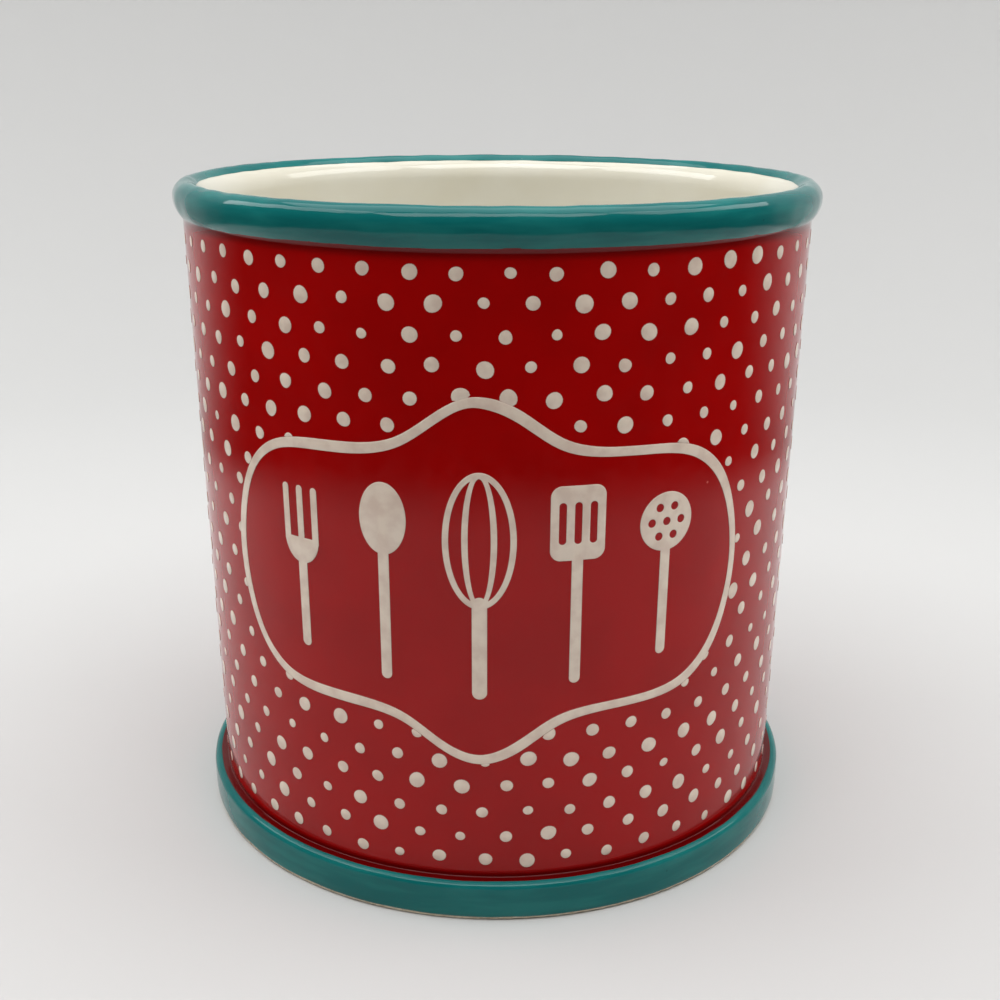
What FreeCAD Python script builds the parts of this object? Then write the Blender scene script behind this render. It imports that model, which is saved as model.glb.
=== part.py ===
import FreeCAD, Part
import math
import os
import random

import Sketcher

# Utensil crock: a straight-sided earthenware jar, open at the top, with a rolled rim and a stepped foot.
# Millimetres, +Z up. The axis of the crock is Z and the table is the plane Z = 0.
# The label on the wall faces -Y.

DOCUMENT = FreeCAD.newDocument("utensil_crock")
SHEET_NAME = "sizes"
FULL_TURN = 360.0
CUBIC = 3

# How a sketch numbers the ends of a line or arc, its origin and its axes
START_POINT = 1
END_POINT = 2
ORIGIN = (-1, 1)
HORIZONTAL_AXIS = -1
VERTICAL_AXIS = -2

# Driving dimensions, one cell each

SIZES = {
    # Clay body
    "crock_height": 172.8,
    "wall_base_radius": 78.95,
    "wall_top_radius": 81.7,
    "wall_thickness": 5.2,
    "floor_thickness": 6.5,
    "glaze_thickness": 0.5,
    # Rolled rim
    "rim_height": 7.6,
    "rim_overhang": 2.4,
    "rim_crown_round": 3.6,
    "rim_flare_height": 7.0,
    "rim_tuck": 1.6,
    "rim_glaze_drop": 1.35,
    "tongue_height": 2.5,
    "tongue_width": 2.0,
    # Stepped foot
    "foot_height": 9.6,
    "foot_overhang": 4.15,
    "foot_edge_round": 2.0,
    "foot_cove_round": 0.9,
    "foot_sole_round": 0.5,
    "foot_bore_radius": 68.0,
    "foot_recess_depth": 3.0,
    "foot_dry_band": 0.3,
    # Inside corner where the liner glaze pools
    "liner_corner_round": 5.0,
    # White slip, raised on the red wall
    "slip_relief": 0.3,
    # Dots
    "dot_row_count": 22,
    "dots_in_row": 48,
    "dot_diameter": 3.3,
    "dot_foot_gap": 4.5,
    "dot_rim_gap": 5.65,
    # Label frame
    "label_drop": 0.8,
    "label_width": 136.0,
    "label_shoulder_height": 63.0,
    "label_point_height": 88.0,
    "label_line_width": 2.5,
    # Kitchen tools drawn inside the label
    "tool_pitch": 22.5,
    "whisk_length": 56.0,
    "whisk_width": 17.0,
    "whisk_cage_length": 33.0,
    "whisk_wire": 1.5,
    "whisk_grip_width": 3.6,
    "spoon_length": 49.0,
    "spoon_width": 11.5,
    "spoon_bowl_length": 17.5,
    "turner_length": 49.0,
    "turner_width": 13.0,
    "turner_blade_length": 18.0,
    "turner_corner": 2.6,
    "turner_slot_width": 1.7,
    "turner_slot_length": 10.0,
    "fork_length": 41.0,
    "fork_width": 10.5,
    "fork_tine_length": 13.0,
    "fork_tine_width": 1.9,
    "skimmer_length": 41.0,
    "skimmer_width": 14.5,
    "skimmer_hole": 2.0,
    "handle_width": 2.7,
}

# Shares of the sizes above, chosen by eye

CROWN_LIMIT_SHARE = 0.58
FLARE_LIMIT_SHARE = 0.95
TUCK_LIMIT_SHARE = 0.85
GLAZE_TUCK_SHARE = 0.5
GLAZE_FEATHER_SHARE = 0.2
EDGE_LIMIT_SHARE = 0.5
COVE_LIMIT_SHARE = 0.8
DOT_PHASE_SHARE = 0.58
DOT_STAGGER_SHARE = 0.5
DOT_SIZE_SPREAD_SHARE = 0.27
DOT_SHIFT_SHARE = 0.16
DOT_OUTLINE_SHARE = 0.1
LINE_SWELL_SHARE = 0.1
SMALLEST_PIECE_SHARE = 0.12

# Quarter of the label frame, from its point to its side: half widths across, then the rise from the
# shoulder to the point, then the shoulder's half height
LABEL_QUARTER_SHARES = (
    (0.0, 1.0, 1.0),
    (0.125, 0.76, 1.0),
    (0.28, 0.2, 1.0),
    (0.44, 0.02, 1.0),
    (0.62, 0.0, 0.99),
    (0.765, 0.0, 0.93),
    (0.89, 0.0, 0.73),
    (0.97, 0.0, 0.4),
    (1.0, 0.0, 0.0),
)

# Where the skimmer's ring of holes and the turner's outer slots stand
SKIMMER_RING_SHARE = 0.56
TURNER_SLOT_SPACING_SHARE = 0.28
FORK_PALM_SHARE = 0.62
WHISK_INNER_SHARE = 0.48

DOT_SEED = 11
DOT_POLES = 6
# A closed uniform cubic through six poles runs at this share of their distance from the centre
DOT_POLE_REACH_SHARE = (4.0 + 2.0 * math.cos(2.0 * math.pi / DOT_POLES)) / 6.0
SKIMMER_RING_HOLES = 6
LABEL_SWELLS = 7


def make_sheet():
    sheet = DOCUMENT.addObject("Spreadsheet::Sheet", SHEET_NAME)
    for row, (alias, number) in enumerate(SIZES.items(), start=1):
        sheet.set(f"A{row}", alias)
        sheet.set(f"B{row}", str(number))
        sheet.setAlias(f"B{row}", alias)
    DOCUMENT.recompute()
    return sheet


SHEET = make_sheet()


class Linked:
    """A size that carries its number and the sheet formula that the number comes from."""

    def __init__(self, number, formula):
        self.number = number
        self.formula = formula

    def joined(self, sign, other, number):
        return Linked(number, f"({self.formula} {sign} {linked(other).formula})")

    def __add__(self, other):
        return self.joined("+", other, self.number + linked(other).number)

    def __sub__(self, other):
        return self.joined("-", other, self.number - linked(other).number)

    def __mul__(self, other):
        return self.joined("*", other, self.number * linked(other).number)

    def __truediv__(self, other):
        return self.joined("/", other, self.number / linked(other).number)


def linked(value):
    if isinstance(value, Linked):
        return value
    return Linked(float(value), repr(float(value)))


def size(alias):
    return Linked(float(SHEET.get(alias)), f"{SHEET_NAME}.{alias}")


def least(first, second):
    smaller = min(first.number, second.number)
    return Linked(smaller, f"min({first.formula}; {second.formula})")


ZERO = linked(0)

# Levels and radii that several pieces share

GLAZE = size("glaze_thickness")
WALL = size("wall_thickness")
RECESS = size("foot_recess_depth")
FLOOR_TOP = RECESS + size("floor_thickness")
CLAY_TOP = size("crock_height") - GLAZE
RIM_SEAT = CLAY_TOP - size("rim_height")
TAPER = (size("wall_top_radius") - size("wall_base_radius")) / RIM_SEAT


def wall_outside(level):
    return size("wall_base_radius") + TAPER * level


def wall_inside(level):
    return wall_outside(level) - WALL


RIM_IN = wall_inside(RIM_SEAT)
RIM_OUT = wall_outside(RIM_SEAT) + size("rim_overhang")
ROLL_WIDTH = RIM_OUT - RIM_IN
CROWN = least(size("rim_crown_round"), least(ROLL_WIDTH, size("rim_height")) * CROWN_LIMIT_SHARE)
CREST = RIM_OUT - CROWN
# The inside of the roll flares from the upright wall out to the crest
FLARE_HEIGHT = least(size("rim_flare_height"), size("rim_height") * FLARE_LIMIT_SHARE)
FLARE_LEVEL = CLAY_TOP - FLARE_HEIGHT
# Below its widest level the roll draws in towards the wall, and the glaze pools in the corner there
BELLY = size("rim_height") - CROWN
BELLY_LEVEL = CLAY_TOP - CROWN
TUCK_ROOM = least(size("rim_overhang") - GLAZE, BELLY) * TUCK_LIMIT_SHARE
TUCK = least(size("rim_tuck"), TUCK_ROOM)
GLAZE_TUCK = TUCK + GLAZE * GLAZE_TUCK_SHARE
GLAZE_HEM = RIM_SEAT - GLAZE
GLAZE_HEM_RADIUS = RIM_OUT + GLAZE - GLAZE_TUCK
GLAZE_END = GLAZE_HEM - size("rim_glaze_drop")
GLAZE_END_RADIUS = wall_outside(GLAZE_END) + GLAZE + GLAZE * GLAZE_FEATHER_SHARE

FOOT_TOP = size("foot_height")
FOOT_OUT = size("wall_base_radius") + size("foot_overhang")
FOOT_BORE = size("foot_bore_radius")
EDGE = least(size("foot_edge_round"), size("foot_overhang") * EDGE_LIMIT_SHARE)
SOLE = least(size("foot_sole_round"), RECESS * EDGE_LIMIT_SHARE)
LEDGE_EDGE = FOOT_OUT - EDGE
# The cove is a quarter circle that leaves the wall upright and runs out level on the ledge
COVE = least(size("foot_cove_round"), (LEDGE_EDGE - wall_outside(FOOT_TOP)) * COVE_LIMIT_SHARE)
COVE_TOP = FOOT_TOP + COVE
COVE_OUT = wall_outside(COVE_TOP) + COVE
DRY = SOLE + size("foot_dry_band")
# The label is centred a little below the middle of the wall that shows
LABEL_LEVEL = (COVE_TOP + RIM_SEAT) / 2 - size("label_drop")


# Turned pieces

LEFT = 1
RIGHT = -1


class Corner:
    """A corner of a section: radius, level and, where the stretch that leads to it is an arc, its bend."""

    def __init__(self, radius, level, bend=None, turn=LEFT):
        self.radius = radius
        self.level = level
        self.bend = bend
        self.turn = turn

    def point(self):
        return FreeCAD.Vector(self.radius.number, self.level.number, 0)


def stretch(start, corner):
    end = corner.point()
    if corner.bend is None:
        return Part.LineSegment(start, end), (START_POINT, END_POINT)
    across = end - start
    middle = (start + end) / 2
    side = FreeCAD.Vector(-across.y, across.x, 0).normalize() * corner.turn
    bend = corner.bend.number
    centre = middle + side * math.sqrt(max(bend**2 - (across.Length / 2) ** 2, 0))
    forward = corner.turn == LEFT
    first, last = (start, end) if forward else (end, start)
    begin = math.atan2(first.y - centre.y, first.x - centre.x)
    finish = math.atan2(last.y - centre.y, last.x - centre.x)
    circle = Part.Circle(centre, FreeCAD.Vector(0, 0, 1), bend)
    ends = (START_POINT, END_POINT) if forward else (END_POINT, START_POINT)
    return Part.ArcOfCircle(circle, begin, finish), ends


def tie(sketch, kind, item, vertex, value):
    if value is ZERO:
        axis = VERTICAL_AXIS if kind == "DistanceX" else HORIZONTAL_AXIS
        sketch.addConstraint(Sketcher.Constraint("PointOnObject", item, vertex, axis))
        return
    index = sketch.addConstraint(Sketcher.Constraint(kind, *ORIGIN, item, vertex, value.number))
    sketch.setExpression(f"Constraints[{index}]", value.formula)


def easing(across, along):
    """Radius of an arc that leaves a straight line smoothly and moves this far across over this length."""
    return (across * across + along * along) / (across * 2)


def turned_body(label, corners):
    body = DOCUMENT.addObject("PartDesign::Body", label)
    body.Label = label
    sketch = body.newObject("Sketcher::SketchObject", f"{label}_section")
    plane = next(item for item in body.Origin.OriginFeatures if item.Role == "XZ_Plane")
    sketch.AttachmentSupport = [(plane, "")]
    sketch.MapMode = "FlatFace"
    ends = []
    for index, corner in enumerate(corners):
        shape, vertices = stretch(corners[index - 1].point(), corner)
        sketch.addGeometry(shape, False)
        ends.append(vertices)
    for index, corner in enumerate(corners):
        after = (index + 1) % len(corners)
        meeting = Sketcher.Constraint("Coincident", index, ends[index][1], after, ends[after][0])
        sketch.addConstraint(meeting)
    for index, corner in enumerate(corners):
        tie(sketch, "DistanceX", index, ends[index][1], corner.radius)
        tie(sketch, "DistanceY", index, ends[index][1], corner.level)
        if corner.bend is not None:
            arc = sketch.addConstraint(Sketcher.Constraint("Radius", index, corner.bend.number))
            sketch.setExpression(f"Constraints[{arc}]", corner.bend.formula)
    turning = body.newObject("PartDesign::Revolution", f"{label}_turning")
    turning.Profile = sketch
    turning.ReferenceAxis = (sketch, ["V_Axis"])
    turning.Angle = FULL_TURN
    body.Placement = FreeCAD.Placement()
    return body


def tongue_sides():
    middle = RIM_IN + WALL / 2
    half = size("tongue_width") / 2
    return middle - half, middle + half


def body_wall():
    tongue_in, tongue_out = tongue_sides()
    tongue_top = RIM_SEAT + size("tongue_height")
    return turned_body("body_wall", [
        Corner(wall_inside(RECESS), RECESS),
        Corner(wall_outside(RECESS), RECESS),
        Corner(wall_outside(RIM_SEAT), RIM_SEAT),
        Corner(tongue_out, RIM_SEAT),
        Corner(tongue_out, tongue_top),
        Corner(tongue_in, tongue_top),
        Corner(tongue_in, RIM_SEAT),
        Corner(RIM_IN, RIM_SEAT),
    ])


def floor_disc():
    return turned_body("floor_disc", [
        Corner(ZERO, RECESS),
        Corner(wall_inside(RECESS), RECESS),
        Corner(wall_inside(FLOOR_TOP), FLOOR_TOP),
        Corner(ZERO, FLOOR_TOP),
    ])


def foot_ring():
    return turned_body("foot_ring", [
        Corner(FOOT_BORE, ZERO),
        Corner(FOOT_OUT - SOLE, ZERO),
        Corner(FOOT_OUT, SOLE, SOLE),
        Corner(FOOT_OUT, FOOT_TOP - EDGE),
        Corner(LEDGE_EDGE, FOOT_TOP, EDGE),
        Corner(COVE_OUT, FOOT_TOP),
        Corner(wall_outside(COVE_TOP), COVE_TOP, COVE, RIGHT),
        Corner(wall_outside(RECESS), RECESS),
        Corner(FOOT_BORE, RECESS),
    ])


def rim_roll():
    tongue_in, tongue_out = tongue_sides()
    groove_top = RIM_SEAT + size("tongue_height")
    return turned_body("rim_roll", [
        Corner(RIM_IN, RIM_SEAT),
        Corner(tongue_in, RIM_SEAT),
        Corner(tongue_in, groove_top),
        Corner(tongue_out, groove_top),
        Corner(tongue_out, RIM_SEAT),
        Corner(RIM_OUT - TUCK, RIM_SEAT),
        Corner(RIM_OUT, BELLY_LEVEL, easing(TUCK, BELLY)),
        Corner(CREST, CLAY_TOP, CROWN),
        Corner(RIM_IN, FLARE_LEVEL, easing(CREST - RIM_IN, FLARE_HEIGHT)),
    ])


# Glaze coats, each with its inner face on the clay

def liner_glaze():
    pool_radius = wall_inside(FLOOR_TOP) - GLAZE - size("liner_corner_round")
    pool_level = FLOOR_TOP + GLAZE + size("liner_corner_round")
    return turned_body("liner_glaze", [
        Corner(ZERO, FLOOR_TOP),
        Corner(wall_inside(FLOOR_TOP), FLOOR_TOP),
        Corner(RIM_IN, RIM_SEAT),
        Corner(RIM_IN, FLARE_LEVEL),
        Corner(CREST, CLAY_TOP, easing(CREST - RIM_IN, FLARE_HEIGHT), RIGHT),
        Corner(CREST, CLAY_TOP + GLAZE),
        Corner(RIM_IN - GLAZE, FLARE_LEVEL, easing(CREST - RIM_IN + GLAZE, FLARE_HEIGHT + GLAZE)),
        Corner(RIM_IN - GLAZE, RIM_SEAT),
        Corner(wall_inside(pool_level) - GLAZE, pool_level),
        Corner(pool_radius, FLOOR_TOP + GLAZE, size("liner_corner_round"), RIGHT),
        Corner(ZERO, FLOOR_TOP + GLAZE),
    ])


def red_glaze():
    return turned_body("red_glaze", [
        Corner(wall_outside(COVE_TOP), COVE_TOP),
        Corner(COVE_OUT, FOOT_TOP, COVE),
        Corner(LEDGE_EDGE, FOOT_TOP),
        Corner(LEDGE_EDGE, FOOT_TOP + GLAZE),
        Corner(COVE_OUT, FOOT_TOP + GLAZE),
        Corner(wall_outside(COVE_TOP) + GLAZE, COVE_TOP, COVE - GLAZE, RIGHT),
        Corner(wall_outside(RIM_SEAT) + GLAZE, RIM_SEAT),
        Corner(wall_outside(RIM_SEAT), RIM_SEAT),
    ])


def rim_glaze():
    pool = easing(GLAZE_HEM_RADIUS - GLAZE_END_RADIUS, size("rim_glaze_drop"))
    return turned_body("rim_glaze", [
        Corner(wall_outside(GLAZE_END) + GLAZE, GLAZE_END),
        Corner(GLAZE_END_RADIUS, GLAZE_END),
        Corner(GLAZE_HEM_RADIUS, GLAZE_HEM, pool, RIGHT),
        Corner(RIM_OUT + GLAZE, BELLY_LEVEL, easing(GLAZE_TUCK, BELLY + GLAZE)),
        Corner(CREST, CLAY_TOP + GLAZE, CROWN + GLAZE),
        Corner(CREST, CLAY_TOP),
        Corner(RIM_OUT, BELLY_LEVEL, CROWN, RIGHT),
        Corner(RIM_OUT - TUCK, RIM_SEAT, easing(TUCK, BELLY), RIGHT),
        Corner(wall_outside(RIM_SEAT) + GLAZE, RIM_SEAT),
    ])


def foot_glaze():
    return turned_body("foot_glaze", [
        Corner(FOOT_OUT, DRY),
        Corner(FOOT_OUT + GLAZE, DRY),
        Corner(FOOT_OUT + GLAZE, FOOT_TOP - EDGE),
        Corner(LEDGE_EDGE, FOOT_TOP + GLAZE, EDGE + GLAZE),
        Corner(LEDGE_EDGE, FOOT_TOP),
        Corner(FOOT_OUT, FOOT_TOP - EDGE, EDGE, RIGHT),
    ])


def underside_glaze():
    return turned_body("underside_glaze", [
        Corner(ZERO, RECESS - GLAZE),
        Corner(FOOT_BORE, RECESS - GLAZE),
        Corner(FOOT_BORE, RECESS),
        Corner(ZERO, RECESS),
    ])


# White slip: flat drawings, across by up, wrapped on the red wall

SKIN_RADIUS = (wall_outside(ZERO) + GLAZE).number
WRAP_RADIUS = (wall_outside(LABEL_LEVEL) + GLAZE).number
LEAN = math.atan(TAPER.number)
FRONT_ANGLE = -math.pi / 2
RELIEF = size("slip_relief").number


def wall_cone(radius):
    cone = Part.Cone()
    cone.Center = FreeCAD.Vector(0, 0, 0)
    cone.Radius = radius
    cone.SemiAngle = LEAN
    return cone


INNER_CONE = wall_cone(SKIN_RADIUS)
OUTER_CONE = wall_cone(SKIN_RADIUS + RELIEF)


def wrapped_edge(edge, cone):
    flat = edge.Curve.toBSpline(edge.FirstParameter, edge.LastParameter)
    poles = []
    for pole in flat.getPoles():
        angle = FRONT_ANGLE + pole.x / WRAP_RADIUS
        poles.append(FreeCAD.Base.Vector2d(angle, pole.y / math.cos(LEAN)))
    curve = Part.Geom2d.BSplineCurve2d()
    knots = flat.getKnots()
    spans = flat.getMultiplicities()
    curve.buildFromPolesMultsKnots(
        poles, spans, knots, flat.isPeriodic(), flat.Degree, flat.getWeights()
    )
    return curve.toShape(cone)


def wrapped_face(cone, wires):
    face = Part.Face(cone, wires[0])
    if len(wires) > 1:
        face.cutHoles(wires[1:])
        face.validate()
    return face


def raised_slip(face):
    rims = [face.OuterWire]
    rims += [wire for wire in face.Wires if not wire.isSame(face.OuterWire)]
    inner_wires = []
    outer_wires = []
    skins = []
    for rim in rims:
        inner = [wrapped_edge(edge, INNER_CONE) for edge in rim.OrderedEdges]
        outer = [wrapped_edge(edge, OUTER_CONE) for edge in rim.OrderedEdges]
        skins += [Part.makeRuledSurface(*pair) for pair in zip(inner, outer)]
        inner_wires.append(Part.Wire(inner))
        outer_wires.append(Part.Wire(outer))
    skins += [wrapped_face(INNER_CONE, inner_wires), wrapped_face(OUTER_CONE, outer_wires)]
    shell = Part.Shell(skins)
    shell.sewShape()
    solid = Part.Solid(shell)
    if solid.Volume < 0:
        solid.reverse()
    return solid


def slip_feature(label, faces):
    feature = DOCUMENT.addObject("Part::Feature", label)
    feature.Label = label
    solids = [raised_slip(face) for face in faces]
    feature.Shape = solids[0] if len(solids) == 1 else Part.makeCompound(solids)
    feature.Placement = FreeCAD.Placement()
    return feature


def flat_face(curve):
    return Part.Face(Part.Wire([curve.toShape()]))


def ellipse(across, up, width, height):
    centre = FreeCAD.Vector(across, up, 0)
    half_width = FreeCAD.Vector(width / 2, 0, 0)
    half_height = FreeCAD.Vector(0, height / 2, 0)
    longer, shorter = (half_height, -half_width) if height > width else (half_width, half_height)
    return flat_face(Part.Ellipse(centre + longer, centre + shorter, centre))


def disc(across, up, diameter):
    return flat_face(Part.Circle(FreeCAD.Vector(across, up, 0), FreeCAD.Vector(0, 0, 1), diameter / 2))


def bar(across, bottom, top, width):
    round_end = width / 2
    low = FreeCAD.Vector(across, bottom + round_end, 0)
    high = FreeCAD.Vector(across, top - round_end, 0)
    side = FreeCAD.Vector(round_end, 0, 0)
    down = FreeCAD.Vector(0, -round_end, 0)
    edges = [
        Part.Arc(low - side, low + down, low + side).toShape(),
        Part.LineSegment(low + side, high + side).toShape(),
        Part.Arc(high + side, high - down, high - side).toShape(),
        Part.LineSegment(high - side, low - side).toShape(),
    ]
    return Part.Face(Part.Wire(edges))


def plate(across, bottom, top, width, corner):
    inset = FreeCAD.Vector(across - width / 2 + corner, bottom + corner, 0)
    core = Part.makePlane(width - 2 * corner, top - bottom - 2 * corner, inset)
    return Part.Face(core.OuterWire.makeOffset2D(corner))


def pierced(face, hole):
    return face.cut(hole).Faces[0]


def joined_faces(first, *others):
    return first.multiFuse(list(others)).removeSplitter().Faces


# Label frame

LABEL_MIDDLE = LABEL_LEVEL.number


def label_line(outset):
    half_width = size("label_width").number / 2
    shoulder = size("label_shoulder_height").number / 2
    rise = size("label_point_height").number / 2 - shoulder
    quarter = [
        FreeCAD.Vector(half_width * across, shoulder * level + rise * lift, 0)
        for across, lift, level in LABEL_QUARTER_SHARES
    ]
    right = quarter + [FreeCAD.Vector(p.x, -p.y, 0) for p in reversed(quarter[:-1])]
    left = [FreeCAD.Vector(-p.x, p.y, 0) for p in reversed(right[1:-1])]
    spine = Part.BSplineCurve()
    spine.interpolate(Points=right + left, PeriodicFlag=True)
    count = len(right + left)
    points = []
    for step, point in enumerate(right + left):
        along = FreeCAD.Vector(*spine.tangent(spine.parameter(point))[0])
        outward = FreeCAD.Vector(-along.y, along.x, 0)
        swell = 1 + LINE_SWELL_SHARE * math.sin(2 * math.pi * LABEL_SWELLS * step / count)
        points.append(point + outward * outset * swell + FreeCAD.Vector(0, LABEL_MIDDLE, 0))
    line = Part.BSplineCurve()
    line.interpolate(Points=points, PeriodicFlag=True)
    return flat_face(line)


LABEL_HALF_LINE = size("label_line_width").number / 2
LABEL_PANEL = label_line(LABEL_HALF_LINE)


def label_frame():
    inside = label_line(-LABEL_HALF_LINE)
    return slip_feature("label_frame", LABEL_PANEL.cut(inside).Faces)


# Dots

def dot_face(across, up, diameter, chance):
    poles = []
    start = chance.uniform(0, 2 * math.pi)
    for index in range(DOT_POLES):
        angle = start + 2 * math.pi * index / DOT_POLES
        uneven = 1 + DOT_OUTLINE_SHARE * chance.uniform(-1, 1)
        reach = diameter / 2 / DOT_POLE_REACH_SHARE * uneven
        poles.append(FreeCAD.Vector(across + reach * math.cos(angle), up + reach * math.sin(angle), 0))
    curve = Part.BSplineCurve()
    knots = list(range(DOT_POLES + 1))
    curve.buildFromPolesMultsKnots(poles, [1] * len(knots), knots, True, CUBIC)
    return flat_face(curve)


def clear_of_label(face, diameter):
    box = LABEL_PANEL.BoundBox
    box.enlarge(diameter)
    if not box.isInside(face.CenterOfMass):
        return [face]
    smallest = SMALLEST_PIECE_SHARE * face.Area
    return [piece for piece in face.cut(LABEL_PANEL).Faces if piece.Area > smallest]


def dot_row(index, chance):
    rows = int(size("dot_row_count").number)
    count = int(size("dots_in_row").number)
    top = (RIM_SEAT - size("dot_rim_gap")).number
    bottom = (COVE_TOP + size("dot_foot_gap")).number
    level = top - (top - bottom) / (rows - 1) * index
    pitch = 2 * math.pi * WRAP_RADIUS / count
    start = DOT_PHASE_SHARE + DOT_STAGGER_SHARE * (index % 2) - count / 2
    diameter = size("dot_diameter").number
    faces = []
    for place in range(count):
        across = (start + place) * pitch + DOT_SHIFT_SHARE * diameter * chance.uniform(-1, 1)
        up = level + DOT_SHIFT_SHARE * diameter * chance.uniform(-1, 1)
        width = diameter * (1 + DOT_SIZE_SPREAD_SHARE * chance.uniform(-1, 1))
        faces.extend(clear_of_label(dot_face(across, up, width, chance), diameter))
    return slip_feature(f"dot_row_{index + 1:02d}", faces)


def dot_rows():
    chance = random.Random(DOT_SEED)
    return [dot_row(index, chance) for index in range(int(size("dot_row_count").number))]


# Kitchen tools in the label, each upright and centred on the label's level

def tool_ends(name):
    half = size(f"{name}_length").number / 2
    return LABEL_MIDDLE - half, LABEL_MIDDLE + half


def tool_handle(across, bottom, top):
    return bar(across, bottom, top, size("handle_width").number)


def motif_whisk(across):
    bottom, top = tool_ends("whisk")
    width = size("whisk_width").number
    cage = size("whisk_cage_length").number
    wire = size("whisk_wire").number
    middle = top - cage / 2
    loops = []
    for span in (width, width * WHISK_INNER_SHARE):
        gap = ellipse(across, middle, span - 2 * wire, cage - 2 * wire)
        loops.append(pierced(ellipse(across, middle, span, cage), gap))
    grip = bar(across, bottom, top - cage + 2 * wire, size("whisk_grip_width").number)
    return slip_feature("motif_whisk", joined_faces(grip, *loops))


def motif_spoon(across):
    bottom, top = tool_ends("spoon")
    bowl_length = size("spoon_bowl_length").number
    bowl = ellipse(across, top - bowl_length / 2, size("spoon_width").number, bowl_length)
    handle = tool_handle(across, bottom, top - bowl_length / 2)
    return slip_feature("motif_spoon", joined_faces(bowl, handle))


def motif_turner(across):
    bottom, top = tool_ends("turner")
    width = size("turner_width").number
    length = size("turner_blade_length").number
    blade = plate(across, top - length, top, width, size("turner_corner").number)
    slot_length = size("turner_slot_length").number
    slot_bottom = top - (length + slot_length) / 2
    for place in (-1, 0, 1):
        slot_across = across + place * TURNER_SLOT_SPACING_SHARE * width
        slot = bar(slot_across, slot_bottom, slot_bottom + slot_length, size("turner_slot_width").number)
        blade = pierced(blade, slot)
    handle = tool_handle(across, bottom, top - length + size("turner_corner").number)
    return slip_feature("motif_turner", joined_faces(blade, handle))


def motif_fork(across):
    bottom, top = tool_ends("fork")
    width = size("fork_width").number
    tine_width = size("fork_tine_width").number
    palm_level = top - size("fork_tine_length").number
    palm = ellipse(across, palm_level, width, width * FORK_PALM_SHARE * 2)
    reach = (width - tine_width) / 2
    tines = [bar(across + place * reach, palm_level - tine_width, top, tine_width) for place in (-1, 0, 1)]
    ceiling = plate(across, palm_level, top, width, tine_width / 2)
    handle = tool_handle(across, bottom, palm_level)
    return slip_feature("motif_fork", joined_faces(pierced(palm, ceiling), handle, *tines))


def motif_skimmer(across):
    bottom, top = tool_ends("skimmer")
    width = size("skimmer_width").number
    middle = top - width / 2
    hole = size("skimmer_hole").number
    bowl = pierced(disc(across, middle, width), disc(across, middle, hole))
    for index in range(SKIMMER_RING_HOLES):
        angle = 2 * math.pi * index / SKIMMER_RING_HOLES
        ring = SKIMMER_RING_SHARE * width / 2
        hole_across = across + ring * math.cos(angle)
        bowl = pierced(bowl, disc(hole_across, middle + ring * math.sin(angle), hole))
    handle = tool_handle(across, bottom, middle - width / 2 + size("handle_width").number)
    return slip_feature("motif_skimmer", joined_faces(bowl, handle))


def kitchen_tools():
    pitch = size("tool_pitch").number
    order = (motif_fork, motif_spoon, motif_whisk, motif_turner, motif_skimmer)
    middle = order.index(motif_whisk)
    return [make((place - middle) * pitch) for place, make in enumerate(order)]


# Build, check and write

def build():
    pieces = [body_wall(), floor_disc(), foot_ring(), rim_roll()]
    pieces += [liner_glaze(), red_glaze(), rim_glaze(), foot_glaze(), underside_glaze()]
    pieces += dot_rows()
    pieces += [label_frame()]
    pieces += kitchen_tools()
    DOCUMENT.recompute()
    return pieces


def check(pieces):
    for item in DOCUMENT.Objects:
        if "Invalid" in item.State or "Error" in item.State:
            raise RuntimeError(f"{item.Label} did not build: {item.State}")
    for piece in pieces:
        if piece.Shape.isNull() or not piece.Shape.isValid():
            raise RuntimeError(f"{piece.Label} has no valid shape")
        if piece.Shape.Volume <= 0 or not piece.Shape.Solids:
            raise RuntimeError(f"{piece.Label} is not solid")


def write(pieces):
    os.makedirs("parts", exist_ok=True)
    for piece in pieces:
        piece.Shape.exportStep(f"parts/{piece.Label}.step")
        print(f"{piece.Label}: {len(piece.Shape.Solids)} solids, {piece.Shape.Volume:.1f} mm3")


PIECES = build()
check(PIECES)
write(PIECES)
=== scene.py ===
import math

import bpy
from mathutils import Matrix, Quaternion, Vector


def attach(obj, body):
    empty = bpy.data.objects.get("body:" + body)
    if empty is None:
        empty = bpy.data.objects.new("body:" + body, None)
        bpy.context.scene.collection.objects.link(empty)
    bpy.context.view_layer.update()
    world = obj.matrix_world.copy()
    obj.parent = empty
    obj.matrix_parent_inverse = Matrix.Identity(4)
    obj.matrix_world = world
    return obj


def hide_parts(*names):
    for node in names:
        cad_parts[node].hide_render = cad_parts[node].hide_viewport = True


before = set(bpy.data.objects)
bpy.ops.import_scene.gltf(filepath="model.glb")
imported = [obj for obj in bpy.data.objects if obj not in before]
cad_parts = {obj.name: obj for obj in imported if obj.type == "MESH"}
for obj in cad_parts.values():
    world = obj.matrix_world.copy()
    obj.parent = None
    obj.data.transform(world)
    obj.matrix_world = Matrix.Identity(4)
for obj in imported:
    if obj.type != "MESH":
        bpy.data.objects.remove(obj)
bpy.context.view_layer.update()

# Utensil crock: rolled teal rim, red wall with white slip dots and a label, stepped teal foot, cream inside
# Sections are in millimetres, as radius and level. Headings are in degrees: 0 is outward and 90 is up.

MM = 0.001
BODY = "root"
CLAY_NODES = ("body_wall", "floor_disc", "foot_ring", "rim_roll")

# The glazed wall leans out a little, from the base to the seat of the rim
SKIN_BASE = 79.45
SKIN_TOP = 82.2
RIM_SEAT = 164.7
SKIN_TAPER = (SKIN_TOP - SKIN_BASE) / RIM_SEAT
CROCK_TOP = 172.8
# Level of the foot's ledge in clay, and radius of the foot's glazed side
LEDGE = 9.6
FOOT_SIDE = 83.6
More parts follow.
